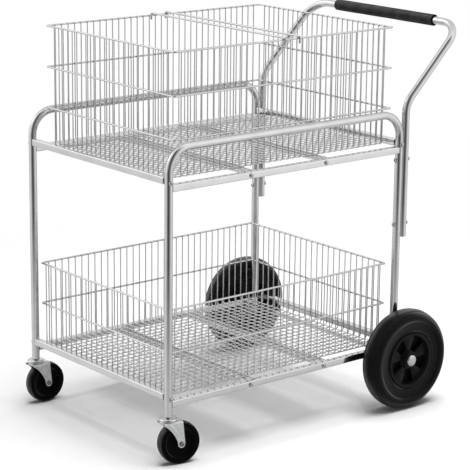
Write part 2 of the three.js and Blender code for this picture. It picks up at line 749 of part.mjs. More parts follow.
// The origin: on the floor, under the middle of the whole cart's box
cart.updateMatrixWorld(true);
const middle = new THREE.Box3().setFromObject(cart).getCenter(vec(0, 0, 0));
cart.position.set(-middle.x, -middle.y, 0);
cart.updateMatrixWorld(true);

export default cart;
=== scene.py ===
# Mobile file cart: the looks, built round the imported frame. Metres, +Z up, +X towards the handle.
import json
from math import radians

import bmesh
import bpy
import numpy as np
from mathutils import Matrix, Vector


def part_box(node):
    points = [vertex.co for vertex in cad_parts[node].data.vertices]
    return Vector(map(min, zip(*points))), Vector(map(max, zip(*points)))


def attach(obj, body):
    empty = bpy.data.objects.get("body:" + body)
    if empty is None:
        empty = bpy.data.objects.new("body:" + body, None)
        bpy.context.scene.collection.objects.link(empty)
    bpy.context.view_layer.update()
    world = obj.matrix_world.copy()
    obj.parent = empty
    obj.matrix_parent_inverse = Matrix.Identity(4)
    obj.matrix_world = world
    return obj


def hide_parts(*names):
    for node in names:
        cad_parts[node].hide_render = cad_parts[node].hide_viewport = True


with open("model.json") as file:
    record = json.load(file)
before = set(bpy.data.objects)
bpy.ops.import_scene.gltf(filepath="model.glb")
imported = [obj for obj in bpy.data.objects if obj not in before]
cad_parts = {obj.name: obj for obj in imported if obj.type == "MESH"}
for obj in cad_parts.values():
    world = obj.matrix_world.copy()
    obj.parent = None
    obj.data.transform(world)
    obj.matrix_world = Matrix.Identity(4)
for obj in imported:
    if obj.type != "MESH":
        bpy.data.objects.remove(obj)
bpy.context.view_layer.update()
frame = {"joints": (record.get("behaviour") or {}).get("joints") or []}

# where things stand, read from the frame
jointPlace = {joint["name"]: np.array(joint["pos_m"]) for joint in frame["joints"] if "pos_m" in joint}
frontX, legY = jointPlace["caster_swivel_far"][:2]
rearX = jointPlace["rear_roll_far"][0]
bothSides = (("near", -1), ("far", 1))
bothEnds = ("front", "rear")
bothShelves = ("upper", "lower")
alongX, alongY, alongZ = np.eye(3)


def nodeBox(node):
    # a node's lowest corner, highest corner and middle
    low, high = [np.array(corner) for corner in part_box(node)]
    return low, high, (low + high) / 2


def camel(words):
    # upper_basket becomes upperBasket
    first, *others = words.split("_")
    return first + "".join(word.capitalize() for word in others)


# shapes


def unit(vector):
    # each row over its own length
    return vector / np.linalg.norm(vector, axis=-1, keepdims=True)


def bentPath(corners, radius, steps):
    # straight runs, and at each inner corner an arc: centre + spoke * cos(a) + run * radius * sin(a)
    corners = np.asarray(corners, float)
    parts = [corners[:1]]
    for before, here, after in zip(corners, corners[1:], corners[2:]):
        into, out = unit(here - before), unit(after - here)
        turn = np.arccos(np.clip(into @ out, -1, 1))
        start = here - into * radius * np.tan(turn / 2)
        centre = here + unit(out - into) * radius / np.cos(turn / 2)
        angle = np.linspace(0, turn, steps + 1)[:, None]
        parts.append(centre + (start - centre) * np.cos(angle) + into * radius * np.sin(angle))
    return np.concatenate(parts + [corners[-1:]])


def splitRuns(path, longest):
    # more points along each straight run, so that no step is longer than longest
    parts = []
    for here, after in zip(path, path[1:]):
        count = max(int(np.ceil(np.linalg.norm(after - here) / longest)), 1)
        parts.append(np.linspace(here, after, count, endpoint=False))
    return np.concatenate(parts + [path[-1:]])


def archCorners(x, near, far, foot, top):
    # from a foot to the top, across, and back to a foot, in the plane of one x
    return [(x, near, foot), (x, near, top), (x, far, top), (x, far, foot)]


def circle(radius, sides):
    # radius * (cos a, sin a)
    angle = np.linspace(0, 2 * np.pi, sides, endpoint=False)
    return radius * np.stack([np.cos(angle), np.sin(angle)], -1)


def roundedBox(width, height, radius, steps):
    # a box outline from the middle of its lower side, with an arc at each corner
    w, h = width / 2, height / 2
    corners = [(0, -h), (w, -h), (w, h), (-w, h), (-w, -h), (0, -h)]
    return bentPath(corners, radius, steps)[:-1]


def mirrored(oneFace, closed=False):
    # a (radius, along) profile drawn for one face, then carried back turned over for the other face
    oneFace = np.asarray(oneFace, float)
    parts = [oneFace, oneFace[-2::-1] * (1, -1)]
    return np.concatenate(parts + [oneFace[:1]] if closed else parts)


def chamfered(inner, outer, half, edge):
    # a (radius, along) profile of a disc or rod: face, broken edge, side, broken edge, face
    return [(inner, -half), (outer - edge, -half), (outer, edge - half), (outer, half - edge),
            (outer - edge, half), (inner, half)]


def carry(path, section, reference, ends=None, closed=False):
    # a section (across, up) carried along a path: point + across * side + up * rise, where side is the
    # part of the reference square to the path; ends are (inward, scale) rows from the middle of an end out
    if closed:
        runs = unit(np.roll(path, -1, 0) - path)
        tangent = unit(runs + np.roll(runs, 1, 0))
        rows = np.append(np.arange(len(path)), 0)
    else:
        runs = unit(np.diff(path, axis=0))
        tangent = unit(np.concatenate([runs[:1], runs[:-1] + runs[1:], runs[-1:]]))
        rows = np.arange(len(path))
    side = unit(reference - tangent * (tangent @ reference)[:, None])
    rise = np.cross(tangent, side)
    inward, scale = np.zeros(len(rows)), np.ones(len(rows))
    if ends is not None:
        depth, size = np.asarray(ends, float).T
        rows = np.concatenate([np.zeros(len(depth), int), rows[1:-1], np.full(len(depth), len(path) - 1)])
        inward = np.concatenate([depth, np.zeros(len(path) - 2), -depth[::-1]])
        scale = np.concatenate([size, np.ones(len(path) - 2), size[::-1]])
    if section.ndim == 3:  # a section of its own for each point
        section = section[rows]
    middle = path[rows] + tangent[rows] * inward[:, None]
    offset = section[..., :1] * side[rows][:, None] + section[..., 1:] * rise[rows][:, None]
    return middle[:, None] + scale[:, None, None] * offset


def hollowEnd(radius, wall, lip, depth):
    # the end of a tube: a blind bore, the cut face and its two broken edges
    bore = 1 - wall / radius
    edge = lip / radius
    return [(depth, 0), (depth, bore), (lip, bore), (0, bore + edge), (0, 1 - edge), (lip, 1)]


def roundEnd(radius, flatness=0.6, steps=5):
    # the end of a wire, a low dome: inward = flatness * radius * (1 - cos a), scale = sin a
    angle = np.linspace(0, np.pi / 2, steps)
    return np.stack([flatness * radius * (1 - np.cos(angle)), np.sin(angle)], -1)


def turned(profile, centre, axis, sides):
    # a (radius, along) profile turned round an axis: centre + axis * along + radius * (u cos a + v sin a)
    profile = np.asarray(profile, float)
    axis = unit(np.asarray(axis, float))
    upright = abs(axis[2]) > 0.9
    u = unit(np.cross(axis, alongX if upright else alongZ))
    v = np.cross(axis, u)
    spokes = circle(1, sides)
    around = spokes[:, :1] * u + spokes[:, 1:] * v
    return np.asarray(centre) + profile[:, None, 1:] * axis + profile[:, None, :1] * around


def copied(grid, places):
    # one grid set down at many places
    return grid[None] + np.asarray(places)[:, None, None]


joinWithin = 1e-6  # points closer than this become one
sliverWithin = 1e-7  # edges shorter than this go


def addPiece(name, body, material, grids, nodes=(), sharp=38):
    # grids of rows and closed columns become one mesh that rides on a body and stands for CAD nodes
    points, faces, start = [], [], 0
    for grid in grids:
        grid = grid.reshape(-1, *grid.shape[-3:])
        count, rows, columns = grid.shape[:3]
        row = np.arange(rows - 1)[:, None] * columns
        column = np.arange(columns)[None]
        beside = (column + 1) % columns
        cells = np.stack([row + column, row + beside, row + columns + beside, row + columns + column], -1)
        first = start + np.arange(count) * rows * columns
        faces.append((cells.reshape(1, -1, 4) + first[:, None, None]).reshape(-1, 4))
        points.append(grid.reshape(-1, 3))
        start += count * rows * columns
    mesh = bpy.data.meshes.new(name)
    mesh.from_pydata(np.concatenate(points).tolist(), [], np.concatenate(faces).tolist())
    work = bmesh.new()
    work.from_mesh(mesh)
    bmesh.ops.remove_doubles(work, verts=work.verts, dist=joinWithin)
    bmesh.ops.dissolve_degenerate(work, edges=work.edges, dist=sliverWithin)
    bmesh.ops.recalc_face_normals(work, faces=work.faces)
    work.to_mesh(mesh)
    work.free()
    mesh.shade_smooth()
    mesh.set_sharp_from_angle(angle=radians(sharp))
    mesh.materials.append(material)
    piece = bpy.data.objects.new(name, mesh)
    bpy.context.scene.collection.objects.link(piece)
    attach(piece, body)
    if nodes:
        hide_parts(*nodes)
    return piece


# finishes


def addNode(tree, kind, sockets=None, **options):
    # a node with its options and sockets set, a socket as a value or as a link
    made = tree.nodes.new(kind)
    for option, value in options.items():
        setattr(made, option, value)
    for label, value in (sockets or {}).items():
        if isinstance(value, bpy.types.NodeSocket):
            tree.links.new(value, made.inputs[label])
        else:
            made.inputs[label].default_value = value
    return made


def maths(tree, operation, first, second):
    # two numbers put together by one operation
    return addNode(tree, "ShaderNodeMath", {0: first, 1: second}, operation=operation).outputs[0]


def vectors(tree, operation, sockets):
    # a vector operation, which gives a number where it measures
    made = addNode(tree, "ShaderNodeVectorMath", sockets, operation=operation)
    return made.outputs["Value" if operation in ("LENGTH", "DOT_PRODUCT") else "Vector"]


def noise(tree, place, scale, detail):
    sockets = {"Vector": place, "Scale": scale, "Detail": detail}
    return addNode(tree, "ShaderNodeTexNoise", sockets).outputs["Fac"]


def ownPlace(tree):
    return addNode(tree, "ShaderNodeTexCoord").outputs["Object"]


def rampOf(tree, factor, stops):
    # a colour ramp through (place, grey or colour) stops
    ramp = addNode(tree, "ShaderNodeValToRGB", {"Fac": factor})
    elements = ramp.color_ramp.elements
    while len(elements) < len(stops):
        elements.new(0.5)
    for element, (place, tone) in zip(elements, stops):
        element.position = place
        element.color = (*((tone,) * 3 if np.isscalar(tone) else tone), 1)
    return ramp.outputs["Color"]


def ranged(tree, value, low, high, fromLow=0.0, fromHigh=1.0):
    # a value carried from one range to another
    sockets = {"Value": value, "From Min": fromLow, "From Max": fromHigh, "To Min": low, "To Max": high}
    return addNode(tree, "ShaderNodeMapRange", sockets).outputs["Result"]


def bumpFrom(tree, height, strength, distance):
    sockets = {"Height": height, "Strength": strength, "Distance": distance}
    return addNode(tree, "ShaderNodeBump", sockets).outputs["Normal"]


def noiseGroup(name, fields):
    # an effect that finishes share: one noise for each output, over the piece's own place times Size; a field
    # is (scale, detail), and where a range follows, what lies in it is spread out from 0 to 1
    group = bpy.data.node_groups.new(name, "ShaderNodeTree")
    group.interface.new_socket("Size", in_out="INPUT", socket_type="NodeSocketFloat").default_value = 1.0
    for label in fields:
        group.interface.new_socket(label, in_out="OUTPUT", socket_type="NodeSocketFloat")
    given, made = group.nodes.new("NodeGroupInput"), group.nodes.new("NodeGroupOutput")
    sized = vectors(group, "SCALE", {0: ownPlace(group), "Scale": given.outputs["Size"]})
    for label, (scale, detail, *span) in fields.items():
        value = noise(group, sized, scale, detail)
        group.links.new(ranged(group, value, 0, 1, *span) if span else value, made.inputs[label])
    return group


# plated metal: cloudy haze, fine rubbed marks and a slow ripple
plating = noiseGroup("platingMarks", {"Haze": (22, 5), "Rub": (900, 2), "Ripple": (45, 1)})
# moulded rubber and plastic: fine grain, slow mottling and dusty flecks
moulded = noiseGroup("mouldedSkin", {"Grain": (700, 3), "Mottle": (28, 6), "Dust": (160, 8, 0.55, 0.8)})


def startMaterial(name, group, size):
    # a material with one shared group in it, and its shader
    material = bpy.data.materials.new(name)
    material.use_nodes = True
    tree = material.node_tree
    effect = addNode(tree, "ShaderNodeGroup", node_tree=group)
    effect.inputs["Size"].default_value = size
    return material, tree, effect.outputs, tree.nodes["Principled BSDF"]


metal = {"hazeFrom": 0.3, "hazeTo": 0.7, "rubFrom": 0.12, "rubTo": 0.4, "rippleDepth": 0.001}


def platedMetal(name, dark, light, rough, size=1.0, ripple=0.05):
    # bright metal: tone follows the haze, roughness the haze times the rubbed marks, and the ripple is a bump
    s = metal
    material, tree, marks, shader = startMaterial(name, plating, size)
    tone = rampOf(tree, marks["Haze"], [(s["hazeFrom"], dark), (s["hazeTo"], light)])
    tree.links.new(tone, shader.inputs["Base Color"])
    rubbed = maths(tree, "MULTIPLY", marks["Haze"], marks["Rub"])
    tree.links.new(ranged(tree, rubbed, *rough, s["rubFrom"], s["rubTo"]), shader.inputs["Roughness"])
    tree.links.new(bumpFrom(tree, marks["Ripple"], ripple, s["rippleDepth"]), shader.inputs["Normal"])
    shader.inputs["Metallic"].default_value = 1
    return material


black = {"mottleFrom": 0.3, "mottleTo": 0.7, "dust": 0.35, "grainDepth": 0.0002, "glossRise": 0.16,
         "glossTo": 0.62, "glossEnd": 0.85, "glossRough": 0.2}


def mouldedBlack(name, dark, light, dusty, rough, shine, gloss, glossFrom, size=1.0, grain=0.25):
    # black rubber or plastic: mottled tone with faint dust, a fine moulded grain, and a skin that is dull
    # when faced and glossy at a glance
    s = black
    material, tree, skin, shader = startMaterial(name, moulded, size)
    tone = rampOf(tree, skin["Mottle"], [(s["mottleFrom"], dark), (s["mottleTo"], light)])
    dust = ranged(tree, skin["Dust"], 0, s["dust"])
    mix = addNode(tree, "ShaderNodeMix", {0: dust, 6: tone, 7: (*dusty, 1)}, data_type="RGBA")
    tree.links.new(mix.outputs[2], shader.inputs["Base Color"])
    worn = ranged(tree, skin["Mottle"], *rough, s["mottleFrom"], s["mottleTo"])
    tree.links.new(worn, shader.inputs["Roughness"])
    tree.links.new(bumpFrom(tree, skin["Grain"], grain, s["grainDepth"]), shader.inputs["Normal"])
    shader.inputs["Specular IOR Level"].default_value = shine
    glance = addNode(tree, "ShaderNodeLayerWeight", {"Blend": 0.5}).outputs["Facing"]
    sheen = rampOf(tree, glance, [(glossFrom, 0), (glossFrom + s["glossRise"], gloss), (s["glossTo"], gloss),
                                  (s["glossEnd"], 0)])
    tree.links.new(sheen, shader.inputs["Coat Weight"])
    shader.inputs["Coat Roughness"].default_value = s["glossRough"]
    return material


foam = {"size": 1.4, "cell": 900, "streak": 260, "drawnOut": (1, 0.02, 1), "toneFrom": 0.6, "toneTo": 1.4,
        "dark": (0.019, 0.019, 0.021), "light": (0.058, 0.058, 0.060), "rough": (0.78, 0.95),
        "bump": 0.5, "depth": 0.0004, "shine": 0.3}


def foamMaterial():
    # closed-cell foam: small cells sink between thin skins, over a dark grey mottled and streaked lengthwise
    s = foam
    material, tree, skin, shader = startMaterial("gripFoam", moulded, s["size"])
    place = ownPlace(tree)
    cells = addNode(tree, "ShaderNodeTexVoronoi", {"Vector": place, "Scale": s["cell"]}).outputs["Distance"]
    streak = noise(tree, vectors(tree, "MULTIPLY", {0: place, 1: s["drawnOut"]}), s["streak"], 2)
    mixed = maths(tree, "ADD", skin["Mottle"], streak)
    spread = ranged(tree, mixed, 0, 1, s["toneFrom"], s["toneTo"])
    tree.links.new(rampOf(tree, spread, [(0.2, s["dark"]), (0.8, s["light"])]), shader.inputs["Base Color"])
    tree.links.new(ranged(tree, skin["Grain"], *s["rough"]), shader.inputs["Roughness"])
    height = maths(tree, "ADD", cells, skin["Grain"])
    tree.links.new(bumpFrom(tree, height, s["bump"], s["depth"]), shader.inputs["Normal"])
    shader.inputs["Specular IOR Level"].default_value = s["shine"]
    return material


tubeChrome = platedMetal("tubeChrome", (0.565, 0.562, 0.57), (0.636, 0.633, 0.641), (0.03, 0.09))
wireChrome = platedMetal("wireChrome", (0.525, 0.522, 0.53), (0.615, 0.612, 0.62), (0.10, 0.22), size=1.6)
railPlate = platedMetal("railPlate", (0.61, 0.606, 0.616), (0.69, 0.686, 0.696), (0.05, 0.13), ripple=0.06)
forkZinc = platedMetal("forkZinc", (0.56, 0.565, 0.57), (0.68, 0.685, 0.69), (0.22, 0.38),
                       size=1.5, ripple=0.12)
raceZinc = platedMetal("raceZinc", (0.58, 0.585, 0.59), (0.70, 0.705, 0.71), (0.06, 0.16),
                       size=1.5, ripple=0.06)
fastenerZinc = platedMetal("fastenerZinc", (0.42, 0.425, 0.435), (0.56, 0.565, 0.57), (0.04, 0.12), size=2.0)
axleSteel = platedMetal("axleSteel", (0.17, 0.17, 0.175), (0.27, 0.27, 0.275), (0.15, 0.3), size=2.0)
capChrome = platedMetal("capChrome", (0.44, 0.445, 0.455), (0.56, 0.565, 0.57), (0.12, 0.24), size=2.0)
gripFoam = foamMaterial()
tyreRubber = mouldedBlack("tyreRubber", dark=(0.0054, 0.0047, 0.0052), light=(0.0090, 0.0080, 0.0087),
                          dusty=(0.030, 0.029, 0.028), rough=(0.36, 0.48), shine=0.06, gloss=0.9,
                          glossFrom=0.31)
casterRubber = mouldedBlack("casterRubber", dark=(0.0016, 0.0016, 0.0017), light=(0.0030, 0.0030, 0.0031),
                            dusty=(0.010, 0.010, 0.010), rough=(0.34, 0.46), shine=0.03, gloss=0.6,
                            glossFrom=0.23, size=1.5)
rimPlastic = mouldedBlack("rimPlastic", dark=(0.0052, 0.0052, 0.0054), light=(0.0088, 0.0088, 0.0090),
                          dusty=(0.022, 0.021, 0.021), rough=(0.34, 0.46), shine=0.06, gloss=0.5,
                          glossFrom=0.31, grain=0.4)
casterPlastic = mouldedBlack("casterPlastic", dark=(0.0014, 0.0014, 0.0015), light=(0.0026, 0.0026, 0.0027),
                             dusty=(0.010, 0.010, 0.010), rough=(0.34, 0.46), shine=0.03, gloss=0.5,
                             glossFrom=0.31, size=1.5, grain=0.4)
print("finishes ready")

# side frames and handle

tube = {"radius": 0.0095, "wall": 0.0015, "bend": 0.057, "sides": 40, "bendSteps": 18,
        "lip": 0.0004, "boreDepth": 0.06, "frontFoot": 0.113}
tubeSection = circle(tube["radius"], tube["sides"])
tubeEnd = hollowEnd(tube["radius"], tube["wall"], tube["lip"], tube["boreDepth"])


def makeSideFrames():
    # a round tube carried up the front leg, along the side bar and down the rear leg
    for side, sign in bothSides:
        low, high, _ = nodeBox(f"side_frame_{side}")
        y, top = sign * legY, high[2] - tube["radius"]
        corners = [(frontX, y, tube["frontFoot"]), (frontX, y, top), (rearX, y, top), (rearX, y, low[2])]
        path = bentPath(corners, tube["bend"], tube["bendSteps"])
        grid = carry(path, tubeSection, alongY, tubeEnd)
        addPiece(f"sideFrame-{side}", "frame", tubeChrome, [grid], [f"side_frame_{side}"])


def makeHandle():
    # the same tube carried up an upright, out along the slope, across, and back down the other side
    low = nodeBox("handle_tube")[0]
    barX, _, barZ = nodeBox("handle_grip")[2]
    uprightX = low[0] + tube["radius"]
    kneeZ = barZ - (barX - uprightX)  # the slope rises at 45 degrees
    half = np.array([(uprightX, -legY, low[2]), (uprightX, -legY, kneeZ), (barX, -legY, barZ)])
    corners = np.concatenate([half, half[::-1] * (1, -1, 1)])
    path = bentPath(corners, tube["bend"], tube["bendSteps"])
    grid = carry(path, tubeSection, unit(alongX - alongZ), tubeEnd)
    addPiece("handleTube", "frame", tubeChrome, [grid], ["handle_tube"])


grip = {"fit": 0.0003, "edge": 0.0011, "edgeSteps": 6, "flare": 0.0017, "flareDepth": 0.008, "step": 0.004,
        "sides": 72, "lumps": 0.00016, "waves": (61, 23), "skinFrom": 0.8, "skinDepth": 0.2}


def makeGrip():
    # a foam sleeve: a turned sleeve with flared bores, its outside let in by lumps * (1 + wave / 2), where
    # the wave is sin(wave 1 * y + 2 a) + sin(wave 2 * y - a)
    low, high, middle = nodeBox("handle_grip")
    outer, half = (high[2] - low[2]) / 2, (high[1] - low[1]) / 2
    bore = tube["radius"] + grip["fit"]
    corners = [(bore, 0), (bore, half - grip["flareDepth"]), (bore + grip["flare"], half), (outer, half),
               (outer, 0)]
    oneSide = splitRuns(bentPath(corners, grip["edge"], grip["edgeSteps"]), grip["step"])
    grid = turned(mirrored(oneSide), middle, alongY, grip["sides"])
    away = (grid - middle) * (1, 0, 1)
    reach = np.linalg.norm(away, axis=-1, keepdims=True)
    angle = np.arctan2(away[..., 2:], away[..., :1])
    y = grid[..., 1:2]
    wave = np.sin(grip["waves"][0] * y + 2 * angle) + np.sin(grip["waves"][1] * y - angle)
    outside = np.clip((reach - grip["skinFrom"] * outer) / (grip["skinDepth"] * outer), 0, 1)
    grid = grid - away / reach * grip["lumps"] * (1 + wave / 2) * outside
    piece = addPiece("gripSleeve", "frame", gripFoam, [grid], ["handle_grip"], sharp=50)


makeSideFrames()
makeHandle()
makeGrip()
print("side frames, handle and grip made")

# bolts

boltSharp = 28  # edges of heads and nuts sharper than this stay crisp


def buttonHead(radius, height, socket, depth, seat, taper=0.92, steps=9):
    # socket floor, socket wall, then a dome: radius * sin a, height * cos a, then back under its seat
    angle = np.linspace(np.arcsin(socket / radius), np.pi / 2, steps)
    dome = np.stack([radius * np.sin(angle), height * np.cos(angle)], -1)
    top = dome[0, 1]
    inside = [(0, top - depth), (taper * socket, top - depth)]
    return np.concatenate([inside, dome, [(radius, -seat)]])


def hexNut(flats, height, chamfer, slope=0.6):
    # a profile for six sides: chamfered top, sides and seat
    corner = flats / np.sqrt(3)
    return [(0, height), (corner - chamfer, height), (corner, height - slope * chamfer), (corner, 0), (0, 0)]


handleBolt = {"head": 0.006, "headHeight": 0.0034, "shank": 0.003, "flats": 0.0095, "nutHeight": 0.0043,
              "nutGap": 0.0002, "chamfer": 0.0008, "socket": 0.0019, "socketDepth": 0.0014, "edge": 0.0003,
              "sides": 24}


def makeHandleBolts():
    # a button head on the rear leg, its shank through leg and upright, and a nut behind the upright
    s = handleBolt
    for side, _ in bothSides:
        for level in ("lower", "upper"):
            node = f"handle_bolt_{side}_{level}"
            _, high, middle = nodeBox(node)
            seatX = rearX - tube["radius"] - s["edge"]
            nutX = high[0] - s["nutHeight"] - s["nutGap"]
            head = buttonHead(s["head"], s["headHeight"], s["socket"], s["socketDepth"], s["edge"] / 2)
            shank = [(s["shank"], -s["edge"]), (s["shank"], seatX - nutX), (0, seatX - nutX)]
            boltGrid = turned(np.concatenate([head, shank]), (seatX, *middle[1:]), -alongX, s["sides"])
            nut = hexNut(s["flats"], s["nutHeight"], s["chamfer"])
            nutGrid = turned(nut, (nutX, *middle[1:]), alongX, 6)
            addPiece(f"handleBolt-{side}-{level}", "frame", fastenerZinc,
                     [boltGrid, nutGrid], [node], boltSharp)


frameBolt = {"head": 0.0058, "height": 0.0044, "socket": 0.0014, "depth": 0.0012, "seat": 0.0006,
             "rise": 0.0045, "sides": 24}


def makeFrameBolts():
    # button heads on the outer side of each leg, into the end rails, and on the side rails, into the straps
    s = frameBolt
    head = buttonHead(s["head"], s["height"], s["socket"], s["depth"], s["seat"])
    head = np.concatenate([head, [(0, -s["seat"])]])
    legHeads, strapHeads = [], []
    for shelf in bothShelves:
        for side, sign in bothSides:
            railLow, railHigh, railMiddle = nodeBox(f"{shelf}_side_rail_{side}")
            railFace = railHigh[1] if sign > 0 else railLow[1]
            legFace = sign * (legY + tube["radius"])
            for end in bothEnds:
                endLow, _, endMiddle = nodeBox(f"{shelf}_end_rail_{end}")
                onLeg = (endMiddle[0], legFace, endLow[2] + s["rise"])
                legHeads.append(turned(head, onLeg, sign * alongY, s["sides"]))
                strapX = nodeBox(f"{shelf}_strap_{end}")[2][0]
                onRail = (strapX, railFace, railMiddle[2])
                strapHeads.append(turned(head, onRail, sign * alongY, s["sides"]))
    addPiece("legBolts", "frame", fastenerZinc, legHeads, (), boltSharp)
    addPiece("strapBolts", "frame", fastenerZinc, strapHeads, (), boltSharp)


makeHandleBolts()
makeFrameBolts()
print("bolts made")

# shelves

rail = {"corner": 0.0022, "cornerSteps": 6, "endEdge": 0.0005, "legGap": 0.0003}


def makeRails():
    # square tube: a rounded box carried from end to end; the ends of a side rail are hollowed to the leg's
    # round by reach - sqrt(reach squared - across squared)
    edge, reach = rail["endEdge"], tube["radius"] + rail["legGap"]
    for shelf in bothShelves:
        names = [f"{shelf}_side_rail_{side}" for side, _ in bothSides]
        names += [f"{shelf}_end_rail_{end}" for end in bothEnds]
        for name in names:
            low, high, middle = nodeBox(name)
            size = high[2] - low[2]
            run = alongX if "side" in name else alongY
            path = np.stack([np.where(run > 0, low, middle), np.where(run > 0, high, middle)])
            section = roundedBox(size, size, rail["corner"], rail["cornerSteps"])
            grid = carry(path, section, alongZ, [(0, 0), (0, 1 - 2 * edge / size), (edge, 1)])
            if "side" in name:
                across = grid[..., 1] - middle[1]
                hollow = reach - np.sqrt(reach ** 2 - across ** 2)
                grid[..., 0] += np.sign(grid[..., 0] - middle[0]) * hollow
            kind, place = name.rsplit("_", 1)
            addPiece(f"{camel(kind)}-{place}", "frame", railPlate, [grid], [name])


strap = {"thickness": 0.003, "corner": 0.0007, "cornerSteps": 4, "bend": 0.0035, "bendSteps": 8,
         "endScale": 0.97, "endEdge": 0.0006}


def makeStraps():
    # flat bar bent down at both ends: a thin rounded box carried over the shelf
    s = strap
    half = s["thickness"] / 2
    for shelf in bothShelves:
        for end in bothEnds:
            node = f"{shelf}_strap_{end}"
            low, high, middle = nodeBox(node)
            corners = archCorners(middle[0], low[1] + half, high[1] - half, low[2], high[2] - half)
            path = bentPath(corners, s["bend"], s["bendSteps"])
            section = roundedBox(high[0] - low[0], s["thickness"], s["corner"], s["cornerSteps"])
            grid = carry(path, section, alongX, [(0, 0), (0, s["endScale"]), (s["endEdge"], 1)])
            addPiece(f"{shelf}Strap-{end}", "frame", railPlate, [grid], [node])


makeRails()
makeStraps()
print("shelves made")

# baskets

wire = {"ring": 0.00225, "wall": 0.0014, "corner": 0.005, "cornerSteps": 10, "ringSides": 16, "wallSides": 10,
        "bend": 0.007, "bendSteps": 6, "overRim": 0.0010, "bead": 0.0015, "beadLength": 1.3, "beadSteps": 5,
        "beadSides": 6}
baskets = {
    "upper_basket": {"rings": ("rim", "ring_1", "ring_2"), "longPitch": 0.0184, "shortPitch": 0.0182},
    "lower_basket": {"rings": ("rim", "ring_1"), "longPitch": 0.0195, "shortPitch": 0.0208},
}


def evenPlaces(low, high, pitch):
    # wire middles from end to end of a wall, in whole steps near the pitch
    first, last = low + wire["wall"], high - wire["wall"]
    return np.linspace(first, last, int(round((last - first) / pitch)) + 1)


def makeRings(basket):
    # a closed wire carried round the basket, with an arc at each corner
    for ring in baskets[basket]["rings"]:
        low, high, middle = nodeBox(f"{basket}_{ring}")
        x0, y0 = low[:2] + wire["ring"]
        x1, y1 = high[:2] - wire["ring"]
        half, z = (x0 + x1) / 2, middle[2]
        corners = [(half, y0, z), (x1, y0, z), (x1, y1, z), (x0, y1, z), (x0, y0, z), (half, y0, z)]
        path = bentPath(corners, wire["corner"], wire["cornerSteps"])[:-1]
        grid = carry(path, circle(wire["ring"], wire["ringSides"]), alongZ, closed=True)
        addPiece(f"{camel(basket)}-{camel(ring)}", "frame", wireChrome, [grid],
                 [f"{basket}_{ring}"])


def bead():
    # a weld bead, a small egg: bead * sin a out, bead * length * cos a along
    angle = np.linspace(0, np.pi, wire["beadSteps"])
    profile = wire["bead"] * np.stack([np.sin(angle), wire["beadLength"] * np.cos(angle)], -1)
    return turned(profile, (0, 0, 0), alongZ, wire["beadSides"])


def makeWires(basket):
    # U wires: down one wall, across the floor and up the other wall, in two crossing layers
    s = baskets[basket]
    rimTop = nodeBox(f"{basket}_rim")[1][2] - wire["overRim"]
    nearLow, nearHigh, (_, nearY, _) = nodeBox(f"{basket}_wall_near")
    frontLow, frontHigh, (frontWallX, _, _) = nodeBox(f"{basket}_wall_front")
    farY = nodeBox(f"{basket}_wall_far")[2][1]
    rearWallX = nodeBox(f"{basket}_wall_rear")[2][0]
    crossZ = nodeBox(f"{basket}_floor_cross_wires")[2][2]
    longZ = nodeBox(f"{basket}_floor_long_wires")[2][2]
    section = circle(wire["wall"], wire["wallSides"])
    end = roundEnd(wire["wall"])

    crossX = evenPlaces(nearLow[0], nearHigh[0], s["longPitch"])
    corners = archCorners(0, nearY, farY, rimTop, crossZ)
    oneCross = carry(bentPath(corners, wire["bend"], wire["bendSteps"]), section, alongX, end)
    crossWires = copied(oneCross, crossX[:, None] * alongX)

    longY = evenPlaces(frontLow[1], frontHigh[1], s["shortPitch"])
    corners = np.array(archCorners(0, frontWallX, rearWallX, rimTop, longZ))[:, [1, 0, 2]]
    oneLong = carry(bentPath(corners, wire["bend"], wire["bendSteps"]), section, alongY, end)
    longWires = copied(oneLong, longY[:, None] * alongY)

    places, inset = [], 2 * wire["ring"]
    for ring in s["rings"]:
        low, high, (_, _, z) = nodeBox(f"{basket}_{ring}")
        for y in (low[1] + inset, high[1] - inset):
            places.append(np.stack(np.broadcast_arrays(crossX, y, z), -1))
        for x in (low[0] + inset, high[0] - inset):
            places.append(np.stack(np.broadcast_arrays(x, longY, z), -1))
    beads = copied(bead(), np.concatenate(places))

    word = camel(basket)
    addPiece(f"{word}-crossWires", "frame", wireChrome, [crossWires],
             [f"{basket}_wall_near", f"{basket}_wall_far", f"{basket}_floor_cross_wires"])
    addPiece(f"{word}-longWires", "frame", wireChrome, [longWires],
             [f"{basket}_wall_front", f"{basket}_wall_rear", f"{basket}_floor_long_wires"])
    addPiece(f"{word}-welds", "frame", wireChrome, [beads])


for basket in baskets:
    makeRings(basket)
    makeWires(basket)
print("baskets made")

fileRail = {"wire": 0.0025, "bend": 0.0034, "bendSteps": 8, "sides": 18}


def makeFileRails():
    # a round wire carried across the basket and bent down over both rims
    r = fileRail["wire"]
    for end in bothEnds:
        node = f"file_rail_{end}"
        low, high, middle = nodeBox(node)
        corners = archCorners(middle[0], low[1] + r, high[1] - r, low[2], high[2] - r)
        path = bentPath(corners, fileRail["bend"], fileRail["bendSteps"])
        grid = carry(path, circle(r, fileRail["sides"]), alongX, roundEnd(r))
        addPiece(f"fileRail-{end}", node, wireChrome, [grid], [node])


makeFileRails()
print("file rails made")

# front casters, worked out in a frame of their own: swivel axis along Z, wheel trailing along +X

stem = {"race": 0.021, "raceLow": 0.1073, "raceEdge": 0.0012, "raceHigh": 0.1127, "collar": 0.0125,
        "shaft": 0.0073, "top": 0.168, "chamfer": 0.001, "pin": 0.0055, "pinHead": 0.009,
        "pinHeadLow": 0.0997, "pinHeadHigh": 0.1017, "groove": 0.0022, "grooveDepth": 0.0004,
        "domeSteps": 9, "sides": 56}


